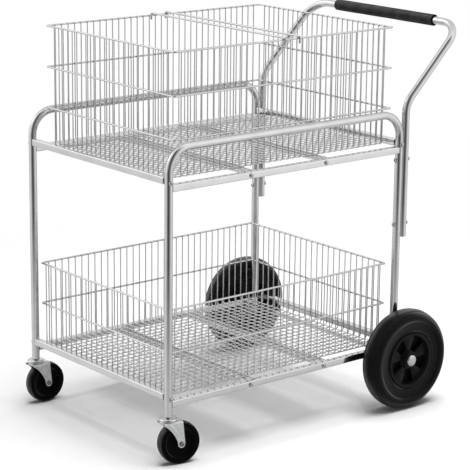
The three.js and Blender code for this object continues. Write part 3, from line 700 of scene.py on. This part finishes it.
def makeStem(side, pivot):
    # turned: pin head, pin, grooved race with a domed top (edge + rise * sin a), and the shaft in the leg
    s = stem
    neck, shoulder = s["race"] - s["groove"], s["raceLow"] + s["raceEdge"]
    angle = np.linspace(0, np.pi / 2, s["domeSteps"])
    dome = np.stack([s["collar"] + (s["race"] - s["collar"]) * np.cos(angle),
                     shoulder + (s["raceHigh"] - shoulder) * np.sin(angle)], -1)
    below = [(0, s["pinHeadLow"]), (s["pinHead"], s["pinHeadLow"]), (s["pinHead"], s["pinHeadHigh"]),
             (s["pin"], s["pinHeadHigh"]), (s["pin"], s["raceLow"]), (neck, s["raceLow"]),
             (neck, s["raceLow"] + s["grooveDepth"])]
    above = [(s["shaft"], s["raceHigh"]), (s["shaft"], s["top"] - s["chamfer"]),
             (s["shaft"] - s["chamfer"], s["top"]), (0, s["top"])]
    grid = turned(np.concatenate([below, dome, above]), (*pivot[:2], 0), alongZ, s["sides"])
    addPiece(f"casterStem-{side}", "frame", raceZinc, [grid], [f"caster_stem_{side}"])


fork = {"plate": 0.0025, "outside": 0.018, "bend": 0.005, "bendSteps": 8, "crownLow": 0.102,
        "crownBack": 0.030, "eye": 0.0092, "eyeZ": 0.050, "eyeFrom": 0.03, "eyeSteps": 10, "legSteps": 26,
        "lipZ": 0.098, "throatPower": 1.6, "throatReach": 0.031, "flare": 0.0045, "flarePower": 14,
        "rib": 0.0013, "ribWidth": 0.05, "ribPlaces": (0.30, 0.68), "ribFoot": 0.062, "ribFade": 0.008,
        "ribTop": 0.002, "ribTopFade": 0.01, "across": 40, "edgeShare": 0.05, "edgeLeast": 0.15}


def forkPlate():
    # the pressed fork: a strip bent over the wheel, whose front and rear edges follow the height t:
    # front = eye front - reach * t ** power - flare, rear straight, both round below the eye
    s = fork
    half = s["outside"] - s["plate"] / 2
    top = s["crownLow"] + s["plate"] / 2
    bends = bentPath(archCorners(0, -half, half, s["eyeZ"] - s["eye"], top), s["bend"], s["bendSteps"])
    eyeArc = s["eyeZ"] - s["eye"] * np.cos(np.linspace(s["eyeFrom"], np.pi / 2, s["eyeSteps"]))
    down = np.concatenate([eyeArc, np.linspace(s["eyeZ"], top - s["bend"], s["legSteps"])[1:-1]])
    nearLeg = np.stack([np.zeros_like(down), np.full_like(down, -half), down], -1)
    path = np.concatenate([nearLeg, bends[1:-1], nearLeg[::-1] * (1, -1, 1)])
    z = path[:, 2]
    t = np.clip((z - s["eyeZ"]) / (s["lipZ"] - s["eyeZ"]), 0, 1)
    eyeFront, eyeRear = caster["trail"] - s["eye"], caster["trail"] + s["eye"]
    front = eyeFront - s["throatReach"] * t ** s["throatPower"] - s["flare"] * t ** s["flarePower"]
    rear = eyeRear - (eyeRear - s["crownBack"]) * t
    eyeHalf = s["eye"] * np.sqrt(np.clip(1 - ((s["eyeZ"] - z) / s["eye"]) ** 2, 0, 1))
    below = z < s["eyeZ"]
    front = np.where(below, caster["trail"] - eyeHalf, front)
    rear = np.where(below, caster["trail"] + eyeHalf, rear)

    share = np.linspace(0, 1, s["across"])
    ribs = sum(np.exp(-((share - place) / s["ribWidth"]) ** 2) for place in s["ribPlaces"])
    fromFoot = np.clip((z - s["ribFoot"]) / s["ribFade"], 0, 1)
    toTop = np.clip((top - s["ribTop"] - z) / s["ribTopFade"], 0, 1)
    lift = -s["rib"] * (fromFoot * toTop)[:, None] * ribs[None]  # out of the side plates
    across = front[:, None] + (rear - front)[:, None] * share[None]
    edge = np.minimum(1, np.minimum(share, 1 - share) / s["edgeShare"])  # the plate's edges are rounded
    thick = s["plate"] / 2 * np.sqrt(np.clip(1 - (1 - edge) ** 2, s["edgeLeast"], 1))[None]
    outer = np.stack([across, lift - thick], -1)
    inner = np.stack([across, lift + thick], -1)[:, ::-1]
    grid = carry(path, np.concatenate([outer, inner], 1), alongX)
    tip = grid.mean(1, keepdims=True)  # closes both round feet
    return np.concatenate([np.repeat(tip[:1], grid.shape[1], 1), grid, np.repeat(tip[-1:], grid.shape[1], 1)])


skirt = {"radius": 0.0180, "reach": 64, "steps": 25, "depth": 0.0072, "lean": 0.5, "edge": 0.0012,
         "edgeSteps": 5}


def forkSkirt():
    # the turned-down nose: a strip carried round the front of the crown, leaning in towards its foot
    s = skirt
    angle = np.radians(np.linspace(-s["reach"], s["reach"], s["steps"]))
    z = fork["crownLow"] + fork["plate"] - s["depth"] / 2
    path = np.stack([-s["radius"] * np.cos(angle), s["radius"] * np.sin(angle), np.full_like(angle, z)], -1)
    section = roundedBox(s["depth"], fork["plate"], s["edge"], s["edgeSteps"])
    section[:, 1] -= s["lean"] * section[:, 0]
    return carry(path, section, alongZ, [(0, 0), (0, 1)])


cup = {"bore": 0.0062, "sunk": 0.0005, "top": 0.107, "neck": 0.0005, "sides": 56}
# the lower race's rolled rim: how far it lies inside the upper race's edge, and its height above the crown
cupRim = [(0.004, -0.001), (0.0006, 0.0001), (0, 0.0006), (0.0004, 0.0013)]


def raceCup():
    # the lower race, a turned ring: floor, rolled rim, neck, top and bore
    s = cup
    foot, neck = fork["crownLow"] + s["sunk"], stem["race"] - stem["groove"]
    rolled = np.array(cupRim) * (-1, 1) + (stem["race"], fork["crownLow"] + fork["plate"])
    profile = [(s["bore"], foot), *rolled, (neck, s["top"] - s["neck"]), (neck, s["top"]),
               (s["bore"], s["top"]), (s["bore"], foot)]
    return turned(profile, (0, 0, 0), alongZ, s["sides"])


def makeFork(side, toFrame):
    grids = [toFrame(grid) for grid in (forkPlate(), forkSkirt(), raceCup())]
    addPiece(f"casterFork-{side}", f"caster_swivel_{side}", forkZinc, grids,
             [f"caster_fork_{side}"])


casterBolt = {"head": 0.0065, "height": 0.0034, "socket": 0.0022, "depth": 0.0015, "flats": 0.0112,
              "chamfer": 0.0009, "shank": 0.004, "seatGap": 0.0003, "sides": 32}


def makeCasterAxle(side, toFrame):
    # a button head, its shank through both plates and the hub, and a nut on the other plate
    s = casterBolt
    seat = fork["outside"] + s["seatGap"]
    centre = np.array([caster["trail"], 0, fork["eyeZ"]])
    head = buttonHead(s["head"], s["height"], s["socket"], s["depth"], 0)
    shank = [(s["shank"], 0), (s["shank"], -2 * seat), (0, -2 * seat)]
    boltGrid = turned(np.concatenate([head, shank]), centre - seat * alongY, -alongY, s["sides"])
    nut = hexNut(s["flats"], s["height"], s["chamfer"])
    nutGrid = turned(nut, centre + seat * alongY, alongY, 6)
    addPiece(f"casterAxle-{side}", f"caster_swivel_{side}", axleSteel,
             [toFrame(boltGrid), toFrame(nutGrid)], [f"caster_axle_{side}"], boltSharp)


caster = {"trail": 0.026, "radius": 0.050, "half": 0.013, "treadShare": 0.92, "treadSteps": 12,
          "crown": 0.0024, "crownPower": 1.43, "sides": 80}
# the tyre's side and the hub's face, each from its bore out: radius, and distance from the wheel's middle
casterSide = [(0.0343, 0.0106), (0.0350, 0.0114), (0.0372, 0.0126), (0.0380, 0.0126), (0.0384, 0.0121),
              (0.0389, 0.0121), (0.0393, 0.0127), (0.0410, 0.0130), (0.0466, 0.0130), (0.0473, 0.0127)]
casterFace = [(0.0044, 0), (0.0044, 0.0152), (0.0098, 0.0152), (0.0104, 0.0146), (0.0112, 0.0088),
              (0.0130, 0.0080), (0.0285, 0.0076), (0.0300, 0.0082), (0.0308, 0.0106), (0.0318, 0.0110),
              (0.0336, 0.0110), (0.0340, 0.0105), (0.0340, 0)]


def makeCasterWheel(side, toFrame):
    # a turned tyre and hub, each drawn for one face and mirrored; the tread is crowned, radius less
    # crown * share ** power, where the share goes from the side to nothing in the middle
    s = caster
    centre = np.array([s["trail"], 0, s["radius"]])
    share = np.linspace(s["treadShare"], 0, s["treadSteps"])
    tread = np.stack([s["radius"] - s["crown"] * share ** s["crownPower"], s["half"] * share], -1)
    profile = mirrored(np.concatenate([casterSide, tread]), closed=True)
    tyreGrid = turned(profile, centre, alongY, s["sides"])
    addPiece(f"casterTyre-{side}", f"caster_wheel_{side}", casterRubber,
             [toFrame(tyreGrid)], [f"caster_tyre_{side}"])
    hubGrid = turned(mirrored(casterFace), centre, alongY, s["sides"])
    addPiece(f"casterHub-{side}", f"caster_wheel_{side}", casterPlastic,
             [toFrame(hubGrid)], [f"caster_hub_{side}"], sharp=30)


def makeCasters():
    # a caster's own frame goes to its place by grid * turn + pivot
    for side, _ in bothSides:
        pivot = jointPlace[f"caster_swivel_{side}"]
        ahead = unit((jointPlace[f"caster_roll_{side}"] - pivot) * (1, 1, 0))
        turn = np.stack([ahead, np.cross(alongZ, ahead), alongZ])

        def toFrame(grid):
            return grid @ turn + pivot * (1, 1, 0)

        makeStem(side, pivot)
        makeFork(side, toFrame)
        makeCasterAxle(side, toFrame)
        makeCasterWheel(side, toFrame)


makeCasters()
print("casters made")

# rear wheels

tyre = {"half": 0.0285, "radius": 0.124, "sideTop": 0.106, "bend": 0.0006, "bendSteps": 5, "groove": 0.0011,
        "grooveAngles": (24, 56), "grooveWidth": 2.4, "seam": 0.0003, "seamWidth": 1.2, "treadSteps": 76,
        "sides": 144}
# the tyre's side from the bead out: radius, and how far it lies inside the widest part
tyreSide = [(0.0697, 0.0095), (0.0697, 0.0080), (0.0712, 0.0062), (0.0738, 0.0050), (0.0752, 0.0062),
            (0.0950, 0.0052), (0.0968, 0.0018), (0.1000, 0.0004)]


def tyreProfile():
    # bead ridge, flat band, step and bulge, then a tread that is a quarter ellipse with two grooves and a
    # seam, each a bell curve of the angle
    s = tyre
    degrees = np.linspace(0, 90, s["treadSteps"])
    angle = np.radians(degrees)
    dips = [np.exp(-((degrees - place) / s["grooveWidth"]) ** 2) for place in s["grooveAngles"]]
    dip = s["groove"] * sum(dips)
    ridge = s["seam"] * np.exp(-((degrees - 90) / s["seamWidth"]) ** 2)
    rise = s["radius"] - s["seam"] - s["sideTop"] + ridge - dip
    tread = np.stack([s["sideTop"] + rise * np.sin(angle), (s["half"] - dip) * np.cos(angle)], -1)
    side = np.array(tyreSide) * (1, -1) + (0, s["half"])
    wall = bentPath(np.concatenate([side, [(s["sideTop"], s["half"])]]), s["bend"], s["bendSteps"])
    return mirrored(np.concatenate([wall[:-1], tread]), closed=True)


rim = {"edge": 0.0240, "seat": 0.0692, "lipInner": 0.0607, "lipDepth": 0.0040, "lipFlare": 0.0018,
       "hub": 0.020, "hubFace": 0.0228, "hubBack": -0.0292, "collar": 0.0036, "bore": 0.00675,
       "webFace": 0.0140, "pocketFloor": 0.0010, "webBack": -0.0020, "bend": 0.0007, "bendSteps": 4,
       "sides": 120}


def rimProfile():
    # hub face, collar, pocket floor, barrel, outer lip, tyre seat and back
    s = rim
    root, flare = s["hub"] + s["collar"], s["lipInner"] + s["lipFlare"]
    corners = [(s["bore"], 0), (s["bore"], s["hubFace"]), (s["hub"], s["hubFace"]), (s["hub"], s["webFace"]),
               (root, s["webFace"]), (root, s["pocketFloor"]), (s["lipInner"], s["pocketFloor"]),
               (s["lipInner"], s["edge"] - s["lipDepth"]), (flare, s["edge"]), (s["seat"], s["edge"]),
               (s["seat"], -s["edge"]), (flare, -s["edge"]), (s["lipInner"], s["webBack"]),
               (s["hub"], s["webBack"]), (s["hub"], s["hubBack"]), (s["bore"], s["hubBack"]), (s["bore"], 0)]
    return bentPath(corners, s["bend"], s["bendSteps"])


spoke = {"count": 5, "from": 0.0185, "to": 0.0612, "innerHalf": 0.0041, "outerHalf": 0.0200, "sunk": 0.002,
         "edge": 0.0009, "edgeSteps": 5, "steps": 9}


def spokeGrid(centre, outward, angle):
    # a spoke: a rounded box carried from the hub to the barrel, widening as it goes out
    s = spoke
    ahead = np.cos(angle) * alongX + np.sin(angle) * alongZ
    reach = np.linspace(s["from"], s["to"], s["steps"])
    share = (reach - s["from"]) / (s["to"] - s["from"])
    width = 2 * (s["innerHalf"] + (s["outerHalf"] - s["innerHalf"]) * share)
    height = rim["webFace"] - rim["pocketFloor"] + s["sunk"]
    box = np.stack([roundedBox(w, height, s["edge"], s["edgeSteps"]) for w in width])
    middle = (rim["webFace"] + rim["pocketFloor"] - s["sunk"]) / 2
    path = centre + outward * middle + reach[:, None] * ahead
    return carry(path, box, np.cross(outward, ahead), [(0, 0), (0, 1)])


cap = {"radius": 0.0145, "seat": 0.0231, "edge": 0.0014, "height": 0.0078, "sidePower": 0.7,
       "topPower": 0.55, "bore": 0.0068, "boreDepth": 0.0054, "steps": 16, "sides": 64}


def capProfile():
    # a push-on cap: radius * sin a ** power out, edge + rise * cos a ** power up, then its blind bore
    s = cap
    angle = np.linspace(0, np.pi / 2, s["steps"])
    dome = np.stack([s["radius"] * np.sin(angle) ** s["sidePower"],
                     s["edge"] + (s["height"] - s["edge"]) * np.cos(angle) ** s["topPower"]], -1)
    under = [(s["radius"], 0), (s["bore"], 0), (s["bore"], s["boreDepth"]), (0, s["boreDepth"])]
    return np.concatenate([dome, under])


axle = {"edge": 0.001, "sides": 40, "washerEdge": 0.0002, "washerSides": 48}


def makeRearWheels():
    # each wheel is turned round its axle: tyre, rim with spokes, hub cap outside and washer inside
    angles = np.pi / 2 + 2 * np.pi * np.arange(spoke["count"]) / spoke["count"]
    for side, sign in bothSides:
        centre = jointPlace[f"rear_roll_{side}"]
        outward = sign * alongY
        body = f"rear_wheel_{side}"
        addPiece(f"rearTyre-{side}", body, tyreRubber,
                 [turned(tyreProfile(), centre, outward, tyre["sides"])], [f"rear_tyre_{side}"])
        spokes = [spokeGrid(centre, outward, angle) for angle in angles]
        addPiece(f"rearRim-{side}", body, rimPlastic,
                 [turned(rimProfile(), centre, outward, rim["sides"]), *spokes], [f"rear_rim_{side}"])
        capGrid = turned(capProfile(), centre + outward * cap["seat"], outward, cap["sides"])
        addPiece(f"hubCap-{side}", "frame", capChrome, [capGrid], [f"hub_cap_{side}"])
        low, high, middle = nodeBox(f"wheel_washer_{side}")
        half, outer = (high[1] - low[1]) / 2, (high[0] - low[0]) / 2
        ring = chamfered(rim["bore"], outer, half, axle["washerEdge"]) + [(rim["bore"], -half)]
        washerGrid = turned(ring, middle, alongY, axle["washerSides"])
        addPiece(f"wheelWasher-{side}", "frame", fastenerZinc, [washerGrid],
                 [f"wheel_washer_{side}"])


def makeRearAxle():
    # one turned rod right across the cart
    low, high, middle = nodeBox("rear_axle")
    rod = chamfered(0, (high[0] - low[0]) / 2, (high[1] - low[1]) / 2, axle["edge"])
    addPiece("rearAxle", "frame", fastenerZinc, [turned(rod, middle, alongY, axle["sides"])],
             ["rear_axle"])


makeRearWheels()
makeRearAxle()
print("rear wheels made")

# stage, light and camera

view = {"place": (-2.923505, -3.492100, 1.579510), "yaw": 0.8791, "pitch": 0.2512, "roll": 0.0116,
        "lens": 147.34, "sensor": 36.0}
toCamera = unit(np.array(view["place"]) * (1, 1, 0))
toRight = np.cross(alongZ, toCamera)

# the floor's tones in mirrors are painted: painted shade across it, darker towards the right, and a painted
# shadow near the middle under the cart
paper = {"radius": 3.4, "sides": 96, "tone": 0.93, "toneSpread": 0.01, "grain": 260, "fadeFrom": 0.75,
         "fadeTo": 1.9, "mirrorThin": 0.12, "mirrorFrom": 0.6, "mirrorTo": 2.3, "paintedShadeLeft": 0.85,
         "leftAt": -0.6, "paintedShadeRight": 0.63, "rightAt": 0.4, "paintedShadowTone": 0.8, "underFrom": 0.35,
         "underTo": 0.75}


def makeFloor():
    # a pale disc whose colour thins out into the white surround, sooner in mirrors than to the eye; in
    # mirrors only, its colour carries painted shade, darker towards the right, and a painted shadow near the
    # middle under the cart
    s = paper
    mesh = bpy.data.meshes.new("floor")
    points = np.pad(circle(s["radius"], s["sides"]), ((0, 0), (0, 1)))
    mesh.from_pydata(points.tolist(), [], [list(range(s["sides"]))])
    floor = bpy.data.objects.new("floor", mesh)
    bpy.context.scene.collection.objects.link(floor)
    material = bpy.data.materials.new("floorPaper")
    material.use_nodes = True
    tree = material.node_tree
    tree.nodes.remove(tree.nodes["Principled BSDF"])
    place = ownPlace(tree)
    away = vectors(tree, "LENGTH", {0: place})
    grain = noise(tree, place, s["grain"], 3)
    colour = rampOf(tree, grain, [(0.3, s["tone"] - s["toneSpread"]), (0.7, s["tone"])])
    glossy = addNode(tree, "ShaderNodeLightPath").outputs["Is Glossy Ray"]
    # painted shade: in mirrors only, the floor is darkened across its width, more towards the right
    across = vectors(tree, "DOT_PRODUCT", {0: place, 1: toRight})
    sideTone = ranged(tree, across, s["paintedShadeLeft"], s["paintedShadeRight"], s["leftAt"], s["rightAt"])
    # painted shadow: in mirrors only, the floor is darker near the middle, under the cart
    paintedShadowTone = ranged(tree, away, s["paintedShadowTone"], 1, s["underFrom"], s["underTo"])
    mirrorPaintedShade = maths(tree, "MULTIPLY", sideTone, paintedShadowTone)
    # mirror rays see the painted shade and painted shadow; other rays see the plain colour
    paintedShadeInMirrors = addNode(tree, "ShaderNodeMix", {0: glossy, 2: 1.0, 3: mirrorPaintedShade}).outputs[0]
    dimmed = vectors(tree, "SCALE", {0: colour, "Scale": paintedShadeInMirrors})
    matt = addNode(tree, "ShaderNodeBsdfDiffuse", {"Color": dimmed})
    clear = addNode(tree, "ShaderNodeBsdfTransparent")
    seenThin = ranged(tree, away, 0, 1, s["fadeFrom"], s["fadeTo"])
    mirrorThin = ranged(tree, away, s["mirrorThin"], 1, s["mirrorFrom"], s["mirrorTo"])
    thin = addNode(tree, "ShaderNodeMix", {0: glossy, 2: seenThin, 3: mirrorThin}).outputs[0]
    mix = addNode(tree, "ShaderNodeMixShader", {0: thin, 1: matt.outputs[0], 2: clear.outputs[0]})
    tree.links.new(mix.outputs[0], tree.nodes["Material Output"].inputs["Surface"])
    mesh.materials.append(material)


# brightness of the surround in mirrors, from behind the cart (0) round to the camera's side (1)
surround = [(0.0, 0.90), (0.20, 1.0), (0.42, 1.10), (0.58, 1.34), (0.67, 1.22), (0.78, 0.94), (0.88, 0.58),
            (0.97, 0.25), (1.0, 0.09)]
studio = {"fill": 0.22, "overhead": 0.4, "belowTone": 0.81, "belowFrom": -0.2, "belowTo": 0.02,
          "sideTurn": -108, "sideRise": 31, "sideInner": 9, "sideOuter": 19, "sideTone": 1.0}


def makeSurround():
    # white for the camera; mirror rays meet a bright back, brighter sides with one round side light, and the
    # dark room behind the camera; other rays meet a low fill
    s = studio
    world = bpy.data.worlds.new("surround")
    world.use_nodes = True
    bpy.context.scene.world = world
    tree = world.node_tree
    tree.nodes.clear()
    way = addNode(tree, "ShaderNodeTexCoord").outputs["Generated"]
    flat = vectors(tree, "MULTIPLY", {0: way, 1: (1, 1, 0)})
    level = maths(tree, "MAXIMUM", vectors(tree, "LENGTH", {0: flat}), s["overhead"])
    facing = maths(tree, "DIVIDE", vectors(tree, "DOT_PRODUCT", {0: flat, 1: toCamera}), level)
    tone = rampOf(tree, ranged(tree, facing, 0, 1, -1, 1), surround)
    rise = addNode(tree, "ShaderNodeSeparateXYZ", {0: way}).outputs["Z"]
    below = ranged(tree, rise, s["belowTone"], 1, s["belowFrom"], s["belowTo"])
    turn, lift = radians(s["sideTurn"]), radians(s["sideRise"])
    sideBox = np.cos(lift) * (np.cos(turn) * toCamera + np.sin(turn) * toRight) + np.sin(lift) * alongZ
    near = vectors(tree, "DOT_PRODUCT", {0: way, 1: sideBox})
    inner, outer = np.cos(radians(s["sideInner"])), np.cos(radians(s["sideOuter"]))
    strength = maths(tree, "ADD", below, ranged(tree, near, 0, s["sideTone"], outer, inner))
    seen = addNode(tree, "ShaderNodeBackground", {"Color": (1, 1, 1, 1), "Strength": 1})
    mirror = addNode(tree, "ShaderNodeBackground", {"Color": tone, "Strength": strength})
    fill = addNode(tree, "ShaderNodeBackground", {"Color": (1, 1, 1, 1), "Strength": s["fill"]})
    ray = addNode(tree, "ShaderNodeLightPath").outputs
    first = addNode(tree, "ShaderNodeMixShader",
                    {0: ray["Is Glossy Ray"], 1: fill.outputs[0], 2: mirror.outputs[0]})
    direct = maths(tree, "MAXIMUM", ray["Is Camera Ray"], ray["Is Transmission Ray"])
    last = addNode(tree, "ShaderNodeMixShader", {0: direct, 1: first.outputs[0], 2: seen.outputs[0]})
    addNode(tree, "ShaderNodeOutputWorld", {"Surface": last.outputs[0]})


softBox = {"power": 308, "size": 3.8, "place": (0.4, -0.6, 4.8)}


def makeLight():
    # one large soft box overhead, which mirrors don't show
    data = bpy.data.lights.new("overheadBox", "AREA")
    data.shape = "SQUARE"
    data.size = softBox["size"]
    data.energy = softBox["power"]
    lamp = bpy.data.objects.new("overheadBox", data)
    lamp.location = softBox["place"]
    lamp.visible_glossy = False
    bpy.context.scene.collection.objects.link(lamp)


def makeCamera():
    # the view direction from yaw and pitch, with right and up turned by the roll
    yaw, pitch, roll = view["yaw"], view["pitch"], view["roll"]
    ahead = np.array([np.cos(yaw) * np.cos(pitch), np.sin(yaw) * np.cos(pitch), -np.sin(pitch)])
    right = np.array([np.sin(yaw), -np.cos(yaw), 0])
    up = np.cross(right, ahead)
    rolledRight = right * np.cos(roll) + up * np.sin(roll)
    rolledUp = np.cross(rolledRight, ahead)
    data = bpy.data.cameras.new("photoView")
    data.lens = view["lens"]
    data.sensor_width = view["sensor"]
    camera = bpy.data.objects.new("photoView", data)
    axes = np.stack([rolledRight, rolledUp, -ahead], -1)
    camera.matrix_world = Matrix.LocRotScale(view["place"], Matrix(axes.tolist()), None)
    bpy.context.scene.collection.objects.link(camera)
    bpy.context.scene.camera = camera


makeFloor()
makeSurround()
makeLight()
makeCamera()
bpy.context.scene.view_settings.view_transform = "Standard"
print("stage, light and camera ready")

bpy.context.view_layer.update()
